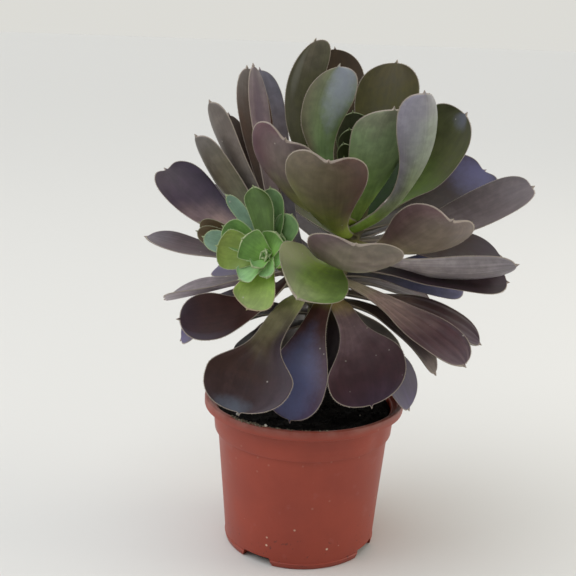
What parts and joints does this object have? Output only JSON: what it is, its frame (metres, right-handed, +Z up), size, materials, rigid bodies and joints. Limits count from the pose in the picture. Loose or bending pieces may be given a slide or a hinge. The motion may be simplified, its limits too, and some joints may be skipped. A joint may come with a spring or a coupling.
{
  "type": "potted aeonium",
  "caption": "Potted succulent: a spoon-leaved dark rosette with a small green side rosette, on a leaning stem in a round moulded nursery pot of peat.",
  "frame": {"origin": "middle of the pot's base, on the surface that the pot stands on", "axes": "+Z up along the pot's axis, -Y towards the front of the plant, +X to the viewer's right"},
  "size_m": [0.2233, 0.2189, 0.301],
  "materials": {
    "terracotta_plastic": "semi-matt moulded plastic with dust and scuffs",
    "peat": "loose dark crumbs with white perlite",
    "stem_bark": "greenish brown bark with leaf scars",
    "dark_leaf": "waxy purple-brown blade, green at the base, with a pale fringed margin",
    "green_leaf": "waxy fresh green blade with a pale jagged margin"
  },
  "bodies": {
    "root": {"pot": "terracotta_plastic", "soil": "peat", "stem": "stem_bark", "crown": "green_leaf", "side_rosette": "green_leaf", "leaf_back_1": "dark_leaf", "leaf_back_10": "dark_leaf", "leaf_back_11": "dark_leaf", "leaf_back_12": "dark_leaf", "leaf_back_2": "dark_leaf", "leaf_back_3": "dark_leaf", "leaf_back_4": "dark_leaf", "leaf_back_5": "dark_leaf", "leaf_back_6": "dark_leaf", "leaf_back_7": "dark_leaf", "leaf_back_8": "dark_leaf", "leaf_back_9": "dark_leaf", "leaf_front_1": "dark_leaf", "leaf_front_2": "dark_leaf", "leaf_front_3": "dark_leaf", "leaf_front_4": "dark_leaf", "leaf_left_1": "dark_leaf", "leaf_left_2": "dark_leaf", "leaf_left_3": "dark_leaf", "leaf_left_4": "dark_leaf", "leaf_left_5": "dark_leaf", "leaf_left_6": "dark_leaf", "leaf_left_7": "dark_leaf", "leaf_left_8": "dark_leaf", "leaf_low_right_1": "dark_leaf", "leaf_low_right_2": "dark_leaf", "leaf_low_right_3": "dark_leaf", "leaf_low_right_4": "dark_leaf", "leaf_right_1": "dark_leaf", "leaf_right_2": "dark_leaf", "leaf_right_3": "dark_leaf", "leaf_right_4": "dark_leaf", "leaf_right_5": "dark_leaf", "leaf_right_6": "dark_leaf", "leaf_right_7": "dark_leaf", "leaf_skirt_1": "dark_leaf", "leaf_skirt_2": "dark_leaf", "leaf_skirt_3": "dark_leaf", "leaf_skirt_4": "dark_leaf", "leaf_skirt_5": "dark_leaf", "leaf_top_1": "dark_leaf", "leaf_top_2": "dark_leaf", "leaf_top_3": "dark_leaf", "leaf_top_4": "dark_leaf", "leaf_top_5": "dark_leaf", "leaf_top_6": "dark_leaf", "leaf_top_7": "dark_leaf", "leaf_upper_left_1": "dark_leaf", "leaf_upper_left_2": "dark_leaf", "leaf_upper_left_3": "dark_leaf", "leaf_upper_left_4": "dark_leaf", "leaf_upper_left_5": "dark_leaf", "leaf_upper_left_6": "dark_leaf"}
  },
  "joints": []
}
